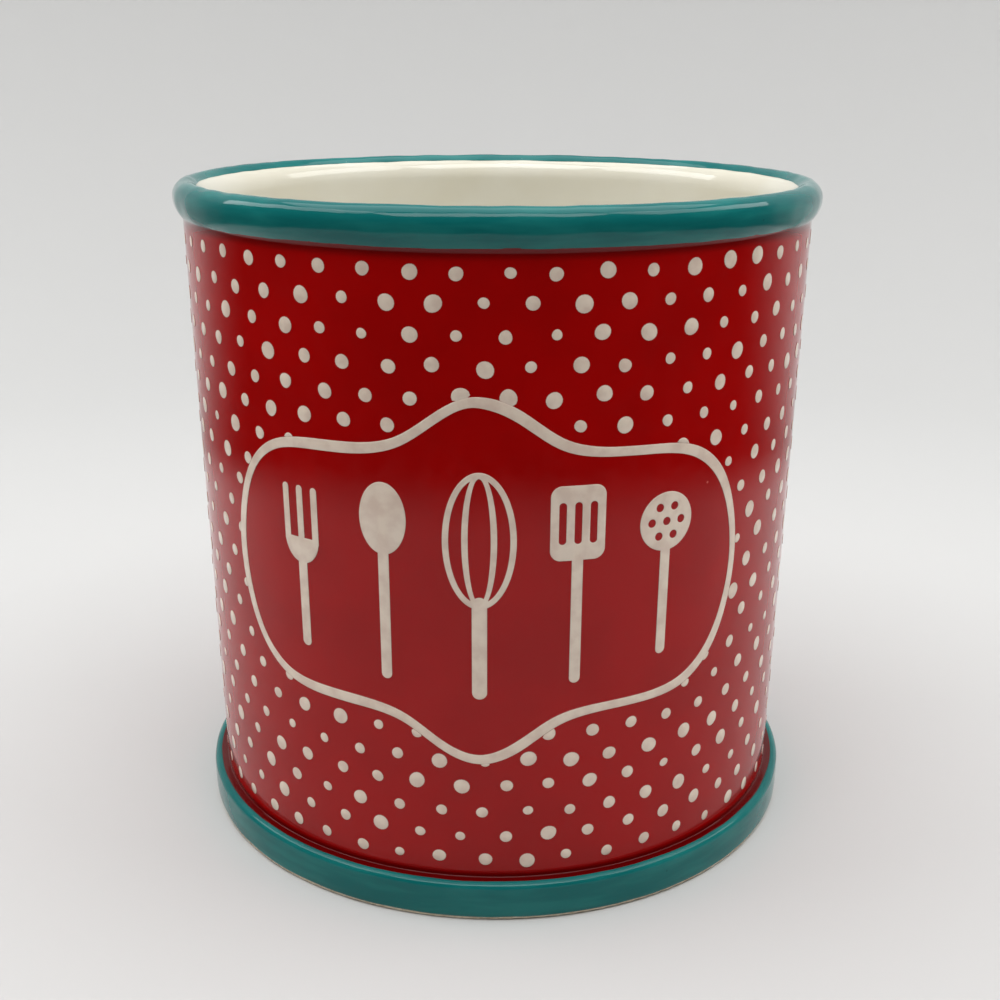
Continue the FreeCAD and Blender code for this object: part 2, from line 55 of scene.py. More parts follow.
# Cream coat: radius at the seat of the rim, and level of the floor
MOUTH = 76.0
INNER_FLOOR = 10.0

# Bends below this, in radians, count as straight
STRAIGHT_BEND = 0.01
# Points closer than this, in metres, become one
MERGE_DISTANCE = 1e-6
TURN_STEPS = 256
# Edges sharper than these angles, in degrees, stay crisp
COAT_CREASE = 40
ROLL_CREASE = 50
SLIP_CREASE = 60

DOT_ROW = "dot_row"
DOT_SIDES = 18
# Heights in millimetres, and the shoulder's width as a share of the dot's radius
DOT_SUNK = 0.12
DOT_SIDE = 0.05
DOT_SHOULDER_SHARE = 0.1
DOT_RISE = 0.06
DOT_DOME = 0.015
# The dots of a row are further apart than this
DOT_GAP = 1.0
# Small tolerances for finding a dot's outline and its centre
PARALLEL_LIMIT = 1e-9
EDGE_SLACK = 1e-6
CENTRE_SHARE = 1e-4

LABEL_TOOLS = ("fork", "spoon", "whisk", "turner", "skimmer")
# Slip drawings: how far they reach into the red coat, their side, then shoulders as width and rise
SLIP_SUNK = 0.1
SLIP_SIDE = 0.05
SLIP_SHOULDERS = ((0.1, 0.05), (0.18, 0.025))
SLICE = 2.0
# The outer face of slip is higher than this over the wall, and faces outward by this share
OUTER_HEIGHT = 0.15
OUTWARD_SHARE = 0.7
# A drawing laid flat has its close points merged, and its faces within this angle, in degrees, joined
DRAWING_MERGE = MERGE_DISTANCE * 20
FLAT_ANGLE = 1


def skin_radius(level):
    return SKIN_BASE + SKIN_TAPER * level


# Camera, as the photograph was taken

LENS = 47.945
SENSOR = 36.0
CLIP_START = 0.01
CAMERA_PLACE = (0.01773, -0.36246, 0.20112)
CAMERA_TURN = 2.657
CAMERA_TILT = 71.791
CAMERA_ROLL = 0.191


def add_camera():
    bpy.ops.object.camera_add()
    camera = bpy.context.object
    camera.data.lens = LENS
    camera.data.sensor_width = SENSOR
    camera.data.clip_start = CLIP_START
    turn = Matrix.Rotation(math.radians(CAMERA_TURN), 4, "Z")
    tilt = Matrix.Rotation(math.radians(CAMERA_TILT), 4, "X")
    roll = Matrix.Rotation(math.radians(CAMERA_ROLL), 4, "Z")
    camera.matrix_world = Matrix.Translation(CAMERA_PLACE) @ turn @ tilt @ roll
    bpy.context.scene.camera = camera


# Modelling helpers

def start_fresh():
    if bpy.context.object is not None and bpy.context.object.mode != "OBJECT":
        bpy.ops.object.mode_set(mode="OBJECT")
    bpy.ops.object.select_all(action="DESELECT")
    bpy.context.tool_settings.mesh_select_mode = (True, False, False)


def take_up(piece):
    """Selects one piece alone and makes it the active one."""
    start_fresh()
    piece.select_set(True)
    bpy.context.view_layer.objects.active = piece


def give_material(piece, material):
    piece.data.materials.clear()
    piece.data.materials.append(material)


def finish_piece(piece, material, node_name):
    give_material(piece, material)
    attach(piece, BODY)
    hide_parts(node_name)


def smooth(piece, crease):
    take_up(piece)
    bpy.ops.object.shade_smooth_by_angle(angle=math.radians(crease))


def along_heading(heading):
    return math.cos(math.radians(heading)), math.sin(math.radians(heading))


def curve_points(start, start_heading, end, end_heading, steps):
    """Points after start along a smooth curve that leaves and arrives at the given headings."""
    bend = math.radians(abs((end_heading - start_heading + 180) % 360 - 180))
    chord = math.dist(start, end)
    reach = chord / 3
    if bend > STRAIGHT_BEND:
        reach = chord * 2 / 3 * math.tan(bend / 4) / math.sin(bend / 2)
    leave = along_heading(start_heading)
    arrive = along_heading(end_heading)
    first = [start[axis] + leave[axis] * reach for axis in range(2)]
    second = [end[axis] - arrive[axis] * reach for axis in range(2)]
    points = []
    for step in range(1, steps + 1):
        share = step / steps
        rest = 1 - share
        points.append(tuple(
            rest**3 * start[axis] + 3 * rest**2 * share * first[axis]
            + 3 * rest * share**2 * second[axis] + share**3 * end[axis]
            for axis in range(2)
        ))
    return points


def line_points(start, end, steps):
    return [
        tuple(start[axis] + (end[axis] - start[axis]) * step / steps for axis in range(2))
        for step in range(1, steps + 1)
    ]


def drawn_section(name, section):
    """Starts a piece as a section drawn point by point, and leaves it in edit mode."""
    start_fresh()
    bpy.ops.mesh.primitive_plane_add(size=MM)
    piece = bpy.context.object
    piece.name = name
    bpy.ops.object.mode_set(mode="EDIT")
    bpy.ops.mesh.select_all(action="SELECT")
    bpy.ops.mesh.merge(type="CENTER")
    bpy.ops.transform.translate(value=(section[0][0] * MM, 0, section[0][1] * MM))
    for before, after in zip(section, section[1:]):
        step = ((after[0] - before[0]) * MM, 0, (after[1] - before[1]) * MM)
        bpy.ops.mesh.extrude_region_move(TRANSFORM_OT_translate={"value": step})
    return piece


def spin_section(steps):
    """Spins the section in edit mode round the crock's axis and closes its seams."""
    bpy.ops.mesh.select_all(action="SELECT")
    bpy.ops.mesh.remove_doubles(threshold=MERGE_DISTANCE)
    bpy.ops.mesh.spin(steps=steps, angle=math.tau, center=(0, 0, 0), axis=(0, 0, 1))
    bpy.ops.mesh.select_all(action="SELECT")
    bpy.ops.mesh.remove_doubles(threshold=MERGE_DISTANCE)


def turned(name, section):
    """Turns a coat from its section, which is closed unless it starts and ends on the axis."""
    on_axis = section[0][0] == 0
    piece = drawn_section(name, section if on_axis else section + section[:1])
    spin_section(TURN_STEPS)
    bpy.ops.mesh.normals_make_consistent(inside=False)
    bpy.ops.object.mode_set(mode="OBJECT")
    return piece


def unevenness(piece, wave, depth):
    """Moves the surface gently in and out, as a hand-dipped coat is."""
    texture = bpy.data.textures.new(f"{piece.name}_waves", "CLOUDS")
    texture.noise_scale = wave * MM
    texture.noise_depth = 1
    take_up(piece)
    waves = piece.modifiers.new("waves", "DISPLACE")
    waves.texture = texture
    waves.texture_coords = "LOCAL"
    waves.strength = depth * MM
    waves.mid_level = 0.5
    bpy.ops.object.modifier_apply(modifier=waves.name)


# Turned glaze coats: each section runs along the outer face first and back along the clay

def red_coat():
    foot_end = (FOOT_SIDE - 1.7, LEDGE + 0.15)
    edge = (FOOT_SIDE - 2.0, LEDGE + 0.4)
    corner = (SKIN_BASE + 0.53, LEDGE + 0.34)
    wall_low = (skin_radius(LEDGE + 0.72), LEDGE + 0.72)
    wall_high = (skin_radius(RIM_SEAT - 3.5), RIM_SEAT - 3.5)
    hem = (SKIN_TOP + 0.55, RIM_SEAT - 0.5)
    back_high = (SKIN_TOP - 0.4, RIM_SEAT - 0.15)
    back_low = (SKIN_BASE - 0.2, LEDGE + 1.2)
    section = [foot_end]
    section += curve_points(foot_end, 120, edge, 180, 3)
    section += line_points(edge, corner, 4)
    section += curve_points(corner, 182, wall_low, 89, 6)
    section += line_points(wall_low, wall_high, 40)
    section += curve_points(wall_high, 89, hem, 50, 8)
    section += [(SKIN_TOP + 0.4, RIM_SEAT - 0.15), back_high]
    section += line_points(back_high, back_low, 12)
    section += [(SKIN_BASE - 0.15, LEDGE + 0.45), (SKIN_BASE + 0.85, LEDGE + 0.04)]
    section += [(FOOT_SIDE - 2.3, LEDGE + 0.02), (FOOT_SIDE - 1.8, LEDGE - 0.05)]
    piece = turned("wall_coat", section)
    unevenness(piece, wave=20, depth=0.05)
    smooth(piece, COAT_CREASE)
    return piece


def rim_coat():
    hem = (SKIN_TOP + 0.48, RIM_SEAT - 0.7)
    belly = (SKIN_TOP + 2.26, RIM_SEAT + 4.0)
    crown = (SKIN_TOP - 0.99, CROCK_TOP - 0.18)
    flare = (SKIN_TOP - 3.16, CROCK_TOP - 1.05)
    inner_end = (SKIN_TOP - 3.91, CROCK_TOP - 1.75)
    section = [hem]
    section += curve_points(hem, 47, belly, 90, 10)
    section += curve_points(belly, 90, crown, 170, 12)
    section += curve_points(crown, 170, flare, 220, 8)
    section += curve_points(flare, 220, inner_end, 227, 2)
    section += [(SKIN_TOP - 3.4, CROCK_TOP - 1.45), (SKIN_TOP - 1.75, CROCK_TOP - 0.46)]
    section += [(SKIN_TOP + 0.87, CROCK_TOP - 1.53), (SKIN_TOP + 1.93, RIM_SEAT + 4.0)]
    section += [(SKIN_TOP + 1.3, RIM_SEAT + 1.5), (SKIN_TOP + 0.4, RIM_SEAT - 0.04)]
    section += [(SKIN_TOP + 0.1, RIM_SEAT - 0.35)]
    piece = turned("rim_coat", section)
    unevenness(piece, wave=8, depth=0.4)
    smooth(piece, ROLL_CREASE)
    return piece


def liner_coat():
    centre = (0, INNER_FLOOR)
    pool_low = (MOUTH - 7.59, INNER_FLOOR)
    pool_high = (MOUTH - 2.5, INNER_FLOOR + 5.0)
    seat = (MOUTH, RIM_SEAT)
    flare_end = (MOUTH, RIM_SEAT + 0.6)
    edge = (MOUTH + 2.36, CROCK_TOP - 1.75)
    section = [centre]
    section += line_points(centre, pool_low, 12)
    section += curve_points(pool_low, 0, pool_high, 89, 8)
    section += line_points(pool_high, seat, 30)
    section += [flare_end]
    section += curve_points(flare_end, 90, edge, 47, 12)
    section += [(MOUTH + 2.95, CROCK_TOP - 1.25), (MOUTH + 3.2, CROCK_TOP - 1.3)]
    section += [(MOUTH + 0.45, RIM_SEAT + 0.6), (MOUTH + 0.45, RIM_SEAT)]
    section += [(MOUTH - 2.15, INNER_FLOOR - 0.45), (0, INNER_FLOOR - 0.45)]
    piece = turned("liner_coat", section)
    unevenness(piece, wave=18, depth=0.06)
    smooth(piece, COAT_CREASE)
    return piece


def foot_coat():
    lap = (FOOT_SIDE - 2.2, LEDGE + 0.27)
    top = (FOOT_SIDE - 1.65, LEDGE + 0.47)
    shoulder = (FOOT_SIDE - 0.05, LEDGE - 1.1)
    waist = (FOOT_SIDE, 4.6)
    low = (FOOT_SIDE - 0.1, 1.9)
    toe = (FOOT_SIDE - 0.4, 0.85)
    back = FOOT_SIDE - 0.47
    section = [lap]
    section += curve_points(lap, 35, top, -4, 3)
    section += curve_points(top, -4, shoulder, -90, 12)
    section += curve_points(shoulder, -90, waist, -91, 4)
    section += curve_points(waist, -91, low, -95, 3)
    section += curve_points(low, -95, toe, -130, 3)
    section += [(back, toe[1]), (back, LEDGE - 2.0)]
    section += [(FOOT_SIDE - 1.06, LEDGE - 0.56), (FOOT_SIDE - 1.6, LEDGE - 0.2)]
    piece = turned("foot_coat", section)
    unevenness(piece, wave=10, depth=0.2)
    smooth(piece, ROLL_CREASE)
    return piece


# White slip dots

def dot_blank():
    """One dot on a circle of radius 1: a sunk closed base, a short side, a soft shoulder, a low dome."""
    start_fresh()
    bpy.ops.mesh.primitive_circle_add(vertices=DOT_SIDES, radius=1, fill_type="NGON")
    blank = bpy.context.object
    blank.name = "dot_blank"
    bpy.ops.object.mode_set(mode="EDIT")
    bpy.ops.mesh.select_all(action="SELECT")
    bpy.ops.transform.translate(value=(0, 0, -DOT_SUNK))
    bpy.ops.mesh.extrude_region_move(TRANSFORM_OT_translate={"value": (0, 0, DOT_SUNK + DOT_SIDE)})
    bpy.ops.mesh.inset(thickness=DOT_SHOULDER_SHARE, depth=DOT_RISE)
    bpy.ops.mesh.poke(offset=DOT_DOME)
    bpy.ops.mesh.select_all(action="SELECT")
    bpy.ops.mesh.normals_make_consistent(inside=False)
    bpy.ops.object.mode_set(mode="OBJECT")
    return blank


def dot_groups(node):
    """The outer points of each dot in a row of the frame, as length round the wall and level."""
    points = []
    for vertex in node.data.vertices:
        level = vertex.co.z / MM
        radius = math.hypot(vertex.co.x, vertex.co.y) / MM
        if radius > skin_radius(level) + OUTER_HEIGHT:
            turn = math.atan2(vertex.co.x, -vertex.co.y)
            points.append((turn * skin_radius(level), level))
    points.sort()
    groups = [[points[0]]]
    for point in points[1:]:
        if point[0] - groups[-1][-1][0] > DOT_GAP:
            groups.append([])
        groups[-1].append(point)
    turn_length = math.tau * skin_radius(groups[0][0][1])
    if len(groups) > 1 and groups[0][0][0] + turn_length - groups[-1][-1][0] < DOT_GAP:
        last = groups.pop()
        groups[0] += [(across - turn_length, level) for across, level in last]
    return groups


def hull(points):
    def half(ordered):
        kept = []
        for point in ordered:
            while len(kept) > 1:
                ahead = (kept[-1][0] - kept[-2][0], kept[-1][1] - kept[-2][1])
                reach = (point[0] - kept[-2][0], point[1] - kept[-2][1])
                if ahead[0] * reach[1] - ahead[1] * reach[0] > 0:
                    break
                kept.pop()
            kept.append(point)
        return kept[:-1]
    ordered = sorted(set(points))
    return half(ordered) + half(ordered[::-1])


def outline_reach(corners, centre, turn):
    """How far the outline lies from its centre in one direction."""
    across = math.cos(turn)
    up = math.sin(turn)
    reach = 0.0
    for index, corner in enumerate(corners):
        before = corners[index - 1]
        edge = (corner[0] - before[0], corner[1] - before[1])
        offset = (before[0] - centre[0], before[1] - centre[1])
        slope = across * edge[1] - up * edge[0]
        if abs(slope) < PARALLEL_LIMIT:
            continue
        far = (offset[0] * edge[1] - offset[1] * edge[0]) / slope
        share = (offset[0] * up - offset[1] * across) / slope
        if far > 0 and -EDGE_SLACK <= share <= 1 + EDGE_SLACK:
            reach = max(reach, far)
    return reach


def place_on_wall(across, level, height):
    radius = skin_radius(level)
    turn = across / radius
    reach = (radius + height) * MM
    return Vector((math.sin(turn) * reach, -math.cos(turn) * reach, level * MM))


def slip_dot(blank, corners):
    """A copy of the blank, fitted to one dot's outline on the wall."""
    centre = tuple(sum(corner[axis] for corner in corners) / len(corners) for axis in range(2))
    dot = bpy.data.objects.new("dot", blank.data.copy())
    bpy.context.scene.collection.objects.link(dot)
    for vertex in dot.data.vertices:
        turn = math.atan2(vertex.co.y, vertex.co.x)
        share = math.hypot(vertex.co.x, vertex.co.y)
        reach = share * outline_reach(corners, centre, turn) if share > CENTRE_SHARE else 0.0
        across = centre[0] + reach * math.cos(turn)
        level = centre[1] + reach * math.sin(turn)
        vertex.co = place_on_wall(across, level, vertex.co.z)
    return dot


def dot_row(blank, node_name, material):
    outlines = [hull(points) for points in dot_groups(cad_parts[node_name])]
    dots = [slip_dot(blank, corners) for corners in outlines if len(corners) > 2]
    start_fresh()
    for dot in dots:
        dot.select_set(True)
    bpy.context.view_layer.objects.active = dots[0]
    bpy.ops.object.join()
    row = bpy.context.object
    row.name = node_name.replace(DOT_ROW, "slip_dots")
    smooth(row, SLIP_CREASE)
    finish_piece(row, material, node_name)


# Label line and kitchen tool drawings

def unrolled_drawing(name, node):
    """The outer face of a slip drawing in the frame, laid flat: round the wall is X and level is Z."""
    piece = bpy.data.objects.new(name, node.data.copy())
    bpy.context.scene.collection.objects.link(piece)
    take_up(piece)
    bpy.ops.object.mode_set(mode="EDIT")
    bpy.ops.mesh.select_mode(type="FACE")
    bpy.ops.mesh.select_all(action="DESELECT")
    bpy.ops.object.mode_set(mode="OBJECT")
    for face in piece.data.polygons:
        centre = face.center
        outward = Vector((centre.x, centre.y, 0)).normalized()
        height = math.hypot(centre.x, centre.y) / MM - skin_radius(centre.z / MM)
        face.select = face.normal.dot(outward) < OUTWARD_SHARE or height < OUTER_HEIGHT
    bpy.ops.object.mode_set(mode="EDIT")
    bpy.ops.mesh.delete(type="FACE")
    bpy.ops.object.mode_set(mode="OBJECT")
    for vertex in piece.data.vertices:
        turn = math.atan2(vertex.co.x, -vertex.co.y)
        vertex.co = (turn * skin_radius(vertex.co.z / MM) * MM, 0, vertex.co.z)
    bpy.ops.object.mode_set(mode="EDIT")
    bpy.ops.mesh.select_all(action="SELECT")
    bpy.ops.mesh.remove_doubles(threshold=DRAWING_MERGE)
    bpy.ops.mesh.dissolve_degenerate(threshold=DRAWING_MERGE)
    bpy.ops.mesh.select_all(action="SELECT")
    bpy.ops.mesh.dissolve_limited(angle_limit=math.radians(FLAT_ANGLE))
    bpy.ops.object.mode_set(mode="OBJECT")
    return piece


def trailed_slip(name, node_name, material):
    """A raised slip drawing with soft shoulders, thickened flat and wrapped back on the wall."""
    piece = unrolled_drawing(name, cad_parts[node_name])
    bpy.ops.object.mode_set(mode="EDIT")
    bpy.ops.mesh.select_all(action="SELECT")
    bpy.ops.transform.translate(value=(0, SLIP_SUNK * MM, 0))
    rise = (0, -(SLIP_SUNK + SLIP_SIDE) * MM, 0)
    bpy.ops.mesh.extrude_region_move(TRANSFORM_OT_translate={"value": rise})
    for width, step in SLIP_SHOULDERS:
        bpy.ops.mesh.inset(thickness=width * MM, depth=0, use_even_offset=False)
        bpy.ops.transform.translate(value=(0, -step * MM, 0))
    reach = max(abs(vertex.co.x) for vertex in piece.data.vertices)
    slices = math.ceil(reach / (SLICE * MM))
    for index in range(-slices, slices + 1):
        bpy.ops.mesh.select_all(action="SELECT")
        bpy.ops.mesh.bisect(plane_co=(index * SLICE * MM, 0, 0), plane_no=(1, 0, 0))
    bpy.ops.mesh.select_all(action="SELECT")
    bpy.ops.mesh.normals_make_consistent(inside=False)
    bpy.ops.object.mode_set(mode="OBJECT")
    for vertex in piece.data.vertices:
        vertex.co = place_on_wall(vertex.co.x / MM, vertex.co.z / MM, -vertex.co.y / MM)
    smooth(piece, SLIP_CREASE)
    finish_piece(piece, material, node_name)


# Materials

def srgb(red, green, blue):
    shares = []
    for value in (red, green, blue):
        share = value / 255
        shares.append(share / 12.92 if share <= 0.04045 else ((share + 0.055) / 1.055) ** 2.4)
    return (*shares, 1.0)


RED = srgb(164, 4, 4)
# Dark red of pooled glaze, also used as painted shade in the corner over the foot and under the rim
RED_POOL_AND_SHADE = srgb(84, 3, 4)
RED_SPECK = srgb(196, 92, 84)
TEAL = srgb(12, 100, 99)
TEAL_THIN = srgb(44, 138, 132)
TEAL_SPECK = srgb(10, 86, 86)
CREAM = srgb(226, 223, 210)
CREAM_POOLED = srgb(216, 210, 190)
CREAM_SPECK = srgb(186, 172, 142)
SLIP = srgb(233, 216, 199)
SLIP_EDGE = srgb(146, 60, 54)
BISQUE = srgb(226, 213, 192)
BISQUE_DARK = srgb(204, 186, 160)
BISQUE_SPECK = srgb(150, 122, 92)
STAGE_PALE = srgb(198, 198, 197)
STAGE_DARK = srgb(40, 38, 36)

# Levels between which a glaze turns from pooled to thin, or the other way. On the red, this darker band is
# pooled glaze and painted shade, over the foot and under the rim
RED_FOOT_POOL_SHADE = (LEDGE + 0.4, LEDGE + 2.5)
RED_RIM_POOL_SHADE = (RIM_SEAT - 3.9, RIM_SEAT - 1.5)
CREAM_POOL = (INNER_FLOOR, INNER_FLOOR + 12.0)
# Heights over the wall between which the red stain on the slip fades
SLIP_STAIN = (0.03, 0.1)
# Stretch of the teal's streaks, which run round the crock
TEAL_STREAKS = (0.5, 0.5, 3.0)
GLAZE_SPECULAR = 0.24
# Spans of noise that show as clouds and as ripples, and how much finer the ripples are
CLOUD_SPAN = (0.35, 0.7)
RIPPLE_SPAN = (0.3, 0.75)
RIPPLE_FINENESS = 6.0
GLAZE_ROUGHNESS = (0.05, 0.12)
# Spans of the clay's grain that show in its colour and its roughness
GRAIN_COLOUR_SPAN = (0.35, 0.7)
GRAIN_ROUGH_SPAN = (0.3, 0.7)
BISQUE_ROUGHNESS = (0.75, 0.95)


def in_metres(span):
    return tuple(value * MM for value in span)


def feed(tree, socket, value):
    """Links a socket to another node's socket, or sets it to a plain value."""
    if isinstance(value, bpy.types.NodeSocket):
        tree.links.new(value, socket)
    else:
        socket.default_value = value


def node_group(name, inputs, outputs):
    group = bpy.data.node_groups.new(name, "ShaderNodeTree")
    for label, kind, value in inputs:
        socket = group.interface.new_socket(label, in_out="INPUT", socket_type=kind)
        socket.default_value = value
    for label, kind in outputs:
        group.interface.new_socket(label, in_out="OUTPUT", socket_type=kind)
    return group, group.nodes.new("NodeGroupInput"), group.nodes.new("NodeGroupOutput")


def math_node(tree, operation, first, second):
    node = tree.nodes.new("ShaderNodeMath")
    node.operation = operation
    feed(tree, node.inputs[0], first)
    feed(tree, node.inputs[1], second)
    return node.outputs[0]


def mix_colours(tree, share, first, second):
    """Mixes two colours by the factor and colour sockets of a Mix node."""
    node = tree.nodes.new("ShaderNodeMix")
    node.data_type = "RGBA"
    feed(tree, node.inputs[0], share)
    feed(tree, node.inputs[6], first)
    feed(tree, node.inputs[7], second)
    return node.outputs[2]


def spread(tree, value, span, result):
    """Carries a span of values smoothly over to a span of results."""
    node = tree.nodes.new("ShaderNodeMapRange")
    node.interpolation_type = "SMOOTHSTEP"
    feed(tree, node.inputs["Value"], value)
    feed(tree, node.inputs["From Min"], span[0])
    feed(tree, node.inputs["From Max"], span[1])
    feed(tree, node.inputs["To Min"], result[0])
    feed(tree, node.inputs["To Max"], result[1])
    return node.outputs["Result"]


def object_place(tree):
    return tree.nodes.new("ShaderNodeTexCoord").outputs["Object"]


def split_place(tree, place):
    parts = tree.nodes.new("ShaderNodeSeparateXYZ")
    feed(tree, parts.inputs["Vector"], place)
    return parts.outputs


def from_axis(tree, parts):
    """Distance from the crock's axis in metres."""
    across = math_node(tree, "POWER", parts["X"], 2.0)
    along = math_node(tree, "POWER", parts["Y"], 2.0)
    return math_node(tree, "SQRT", math_node(tree, "ADD", across, along), 0.0)


def height_on_wall(tree):
    """Height over the red wall in metres."""
    parts = split_place(tree, object_place(tree))
    lean = math_node(tree, "MULTIPLY", parts["Z"], SKIN_TAPER)
    skin = math_node(tree, "ADD", lean, SKIN_BASE * MM)
    return math_node(tree, "SUBTRACT", from_axis(tree, parts), skin)


def noise(tree, place, scale, detail):
    node = tree.nodes.new("ShaderNodeTexNoise")
    feed(tree, node.inputs["Vector"], place)
    feed(tree, node.inputs["Scale"], scale)
    feed(tree, node.inputs["Detail"], detail)
    return node.outputs["Fac"]


def stretched(tree, place, scale):
    node = tree.nodes.new("ShaderNodeMapping")
    feed(tree, node.inputs["Vector"], place)
    feed(tree, node.inputs["Scale"], scale)
    return node.outputs["Vector"]


def glaze_clouds_group():
    """Thicker and thinner glaze: drifts between two colours, with roughness and a ripple height. A given
    share leans further to the second colour, which on the red glaze is painted shade as well as pooling.
    """
    group, entry, leave = node_group(
        "glaze_clouds",
        [("Body", "NodeSocketColor", RED), ("Pooled", "NodeSocketColor", RED_POOL_AND_SHADE),
         ("Pool", "NodeSocketFloat", 0.0), ("Place", "NodeSocketVector", (0, 0, 0)),
         ("Scale", "NodeSocketFloat", 40.0), ("Strength", "NodeSocketFloat", 0.4)],
        [("Color", "NodeSocketColor"), ("Roughness", "NodeSocketFloat"),
         ("Height", "NodeSocketFloat")],
    )
    place = entry.outputs["Place"]
    scale = entry.outputs["Scale"]
    cloud = spread(group, noise(group, place, scale, detail=3.0), CLOUD_SPAN, (0.0, 1.0))
    share = math_node(group, "MULTIPLY", cloud, entry.outputs["Strength"])
    toward_second = math_node(group, "MAXIMUM", share, entry.outputs["Pool"])
    colour = mix_colours(group, toward_second, entry.outputs["Body"], entry.outputs["Pooled"])
    ripples = noise(group, place, math_node(group, "MULTIPLY", scale, RIPPLE_FINENESS), detail=2.0)
    feed(group, leave.inputs["Color"], colour)
    feed(group, leave.inputs["Roughness"], spread(group, ripples, RIPPLE_SPAN, GLAZE_ROUGHNESS))
    feed(group, leave.inputs["Height"], ripples)
    return group


def specks_group():
    """Sparse small specks: only a few of the cells hold one."""
    group, entry, leave = node_group(
        "specks",
        [("Color", "NodeSocketColor", RED), ("Speck", "NodeSocketColor", RED_POOL_AND_SHADE),
         ("Cells", "NodeSocketFloat", 200.0), ("Size", "NodeSocketFloat", 0.1),
         ("Share", "NodeSocketFloat", 0.1)],
        [("Color", "NodeSocketColor")],
    )
    cells = group.nodes.new("ShaderNodeTexVoronoi")
    feed(group, cells.inputs["Vector"], object_place(group))
    feed(group, cells.inputs["Scale"], entry.outputs["Cells"])
    near = math_node(group, "LESS_THAN", cells.outputs["Distance"], entry.outputs["Size"])
    parts = group.nodes.new("ShaderNodeSeparateColor")
    feed(group, parts.inputs["Color"], cells.outputs["Color"])
    chosen = math_node(group, "LESS_THAN", parts.outputs["Red"], entry.outputs["Share"])
    mask = math_node(group, "MULTIPLY", near, chosen)
    colour = mix_colours(group, mask, entry.outputs["Color"], entry.outputs["Speck"])
    feed(group, leave.inputs["Color"], colour)
    return group


CLOUDS = glaze_clouds_group()
SPECKS = specks_group()


def new_material(name):
    material = bpy.data.materials.new(name)
    material.use_nodes = True
    tree = material.node_tree
    return material, tree, tree.nodes["Principled BSDF"]


def placed_group(tree, group, **values):
    node = tree.nodes.new("ShaderNodeGroup")
    node.node_tree = group
    for label, value in values.items():
        feed(tree, node.inputs[label], value)
    return node.outputs


def bump(tree, shader, height, strength, distance):
    node = tree.nodes.new("ShaderNodeBump")
    feed(tree, node.inputs["Strength"], strength)
    feed(tree, node.inputs["Distance"], distance * MM)
    feed(tree, node.inputs["Height"], height)
    feed(tree, shader.inputs["Normal"], node.outputs["Normal"])


def red_glaze():
    material, tree, shader = new_material("red_glaze_gloss")
    place = object_place(tree)
    level = split_place(tree, place)["Z"]
    # Painted shade with pooled glaze: the red darkens in the corner over the foot and under the rim
    foot_pool_shade = spread(tree, level, in_metres(RED_FOOT_POOL_SHADE), (0.95, 0.0))
    rim_pool_shade = spread(tree, level, in_metres(RED_RIM_POOL_SHADE), (0.0, 0.7))
    darkening = math_node(tree, "MAXIMUM", foot_pool_shade, rim_pool_shade)
    clouds = placed_group(
        tree, CLOUDS, Body=RED, Pooled=RED_POOL_AND_SHADE, Pool=darkening, Place=place, Scale=45.0, Strength=0.15
    )
    specks = placed_group(
        tree, SPECKS, Color=clouds["Color"], Speck=RED_SPECK, Cells=190.0, Size=0.06, Share=0.035
    )
    feed(tree, shader.inputs["Base Color"], specks["Color"])
    feed(tree, shader.inputs["Roughness"], clouds["Roughness"])
    feed(tree, shader.inputs["Specular IOR Level"], GLAZE_SPECULAR)
    bump(tree, shader, clouds["Height"], strength=0.12, distance=0.05)
    return material


def teal_glaze():
    material, tree, shader = new_material("teal_glaze_gloss")
    streaks = stretched(tree, object_place(tree), TEAL_STREAKS)
    clouds = placed_group(
        tree, CLOUDS, Body=TEAL, Pooled=TEAL_THIN, Pool=0.0, Place=streaks, Scale=90.0, Strength=0.35
    )
    specks = placed_group(
        tree, SPECKS, Color=clouds["Color"], Speck=TEAL_SPECK, Cells=320.0, Size=0.1, Share=0.04
    )
    feed(tree, shader.inputs["Base Color"], specks["Color"])
    feed(tree, shader.inputs["Roughness"], clouds["Roughness"])
    feed(tree, shader.inputs["Specular IOR Level"], GLAZE_SPECULAR)
    bump(tree, shader, clouds["Height"], strength=0.15, distance=0.06)
    return material


def cream_glaze():
    material, tree, shader = new_material("cream_glaze_gloss")
    place = object_place(tree)
    darkening = spread(tree, split_place(tree, place)["Z"], in_metres(CREAM_POOL), (0.8, 0.0))
    clouds = placed_group(
        tree, CLOUDS, Body=CREAM, Pooled=CREAM_POOLED, Pool=darkening, Place=place, Scale=35.0, Strength=0.5
    )
    specks = placed_group(
        tree, SPECKS, Color=clouds["Color"], Speck=CREAM_SPECK, Cells=210.0, Size=0.06, Share=0.05
    )
    feed(tree, shader.inputs["Base Color"], specks["Color"])
    feed(tree, shader.inputs["Roughness"], clouds["Roughness"])
    bump(tree, shader, clouds["Height"], strength=0.1, distance=0.05)
    return material


def white_slip():
    material, tree, shader = new_material("white_slip_gloss")
    stain = spread(tree, height_on_wall(tree), in_metres(SLIP_STAIN), (1.0, 0.0))
    clouds = placed_group(
        tree, CLOUDS, Body=SLIP, Pooled=SLIP_EDGE, Pool=stain, Place=object_place(tree),
        Scale=260.0, Strength=0.18,
    )
    feed(tree, shader.inputs["Base Color"], clouds["Color"])
    feed(tree, shader.inputs["Roughness"], clouds["Roughness"])
    bump(tree, shader, clouds["Height"], strength=0.15, distance=0.04)
    return material


